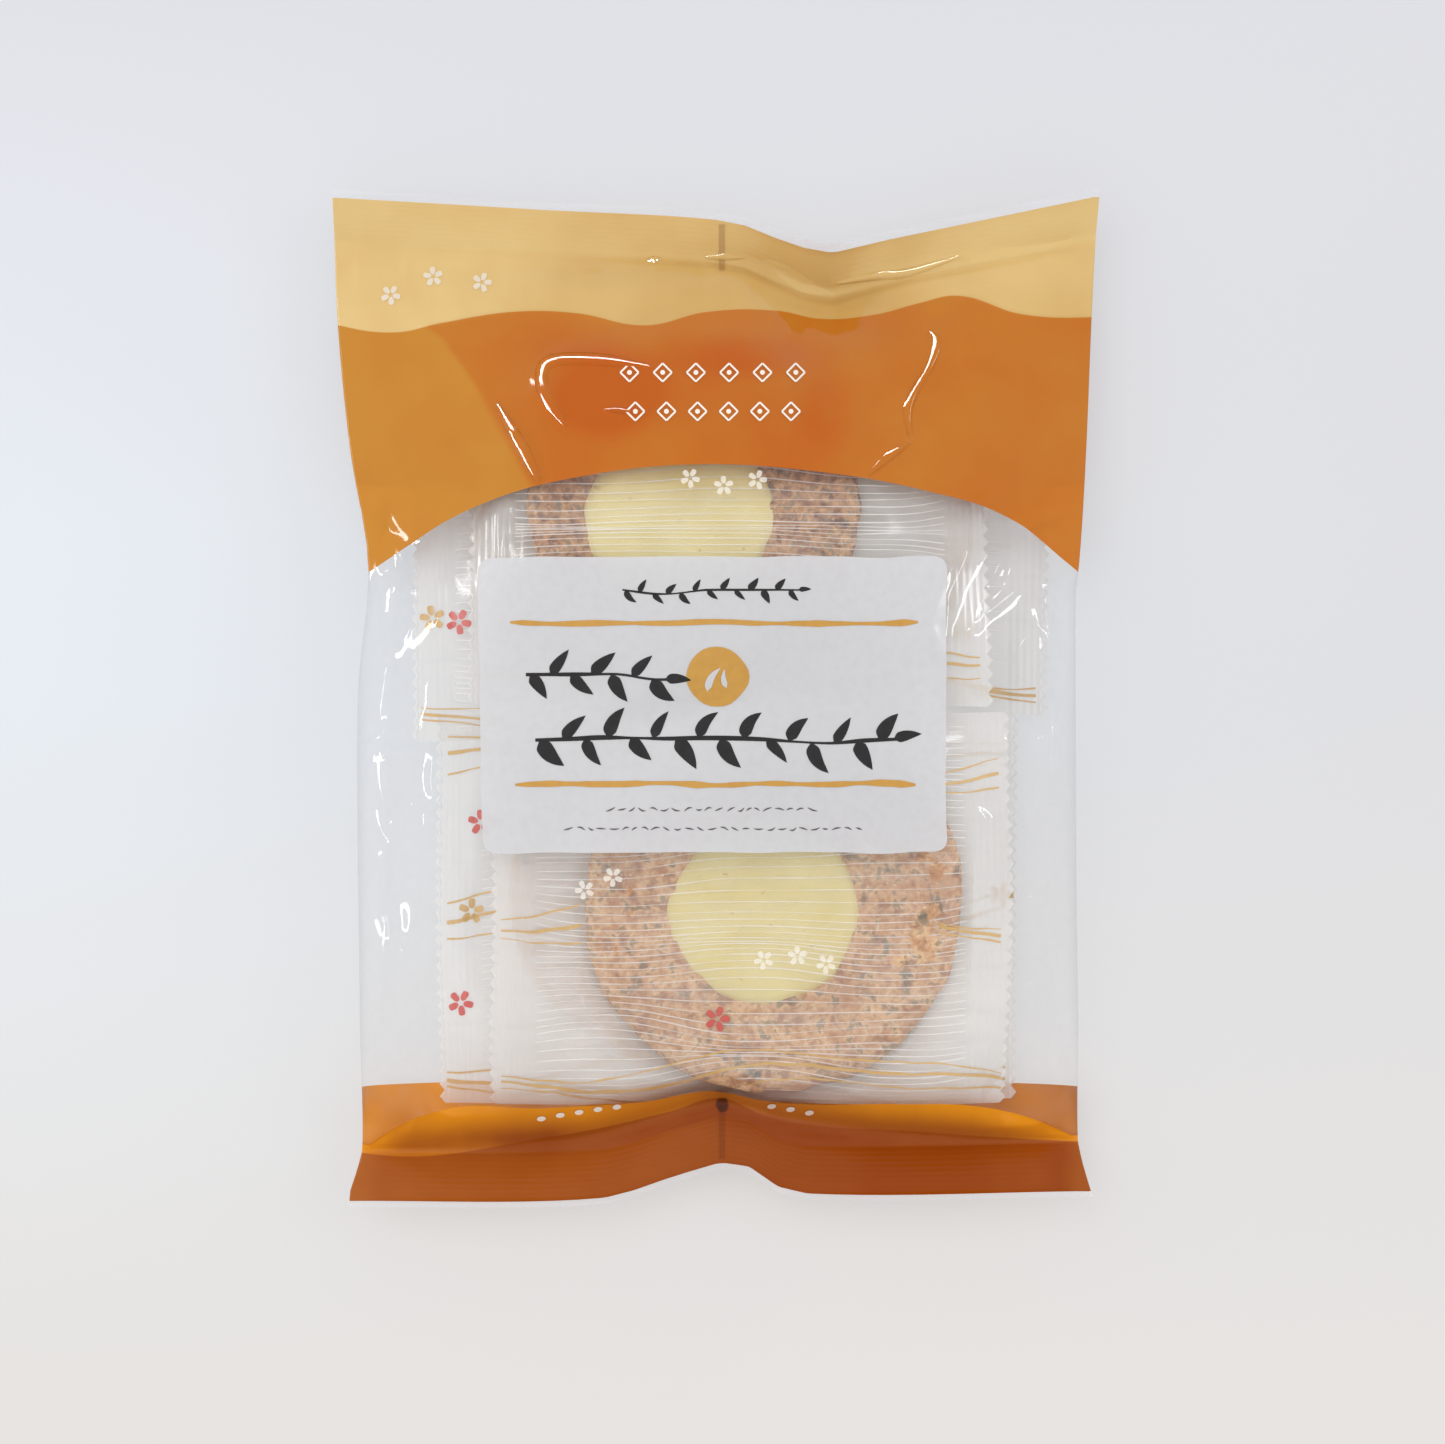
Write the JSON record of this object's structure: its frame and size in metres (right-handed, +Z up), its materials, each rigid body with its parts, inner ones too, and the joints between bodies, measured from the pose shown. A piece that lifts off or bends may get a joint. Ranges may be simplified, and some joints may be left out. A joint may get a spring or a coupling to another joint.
{
  "type": "bag of rice crackers",
  "caption": "Sealed clear pillow bag of individually wrapped round rice crackers, printed header and footer, white front label, flat end seals.",
  "frame": {"origin": "on the floor, under the middle of the bag's bounding box", "axes": "+Z up out of the bag's printed face, +Y along the bag from the bottom seal to the top seal, +X across it to the right as its face is read"},
  "size_m": [0.13, 0.1723, 0.0392],
  "materials": {
    "film": "clear glossy film, printed at both ends",
    "orange_print": "glossy print on film",
    "white_print": "glossy print on film",
    "wrapper": "glossy film over a pale backing",
    "cracker": "rough baked surface",
    "cheese": "smooth, slightly waxy"
  },
  "bodies": {
    "root": {"bag": "film"}
  },
  "joints": []
}
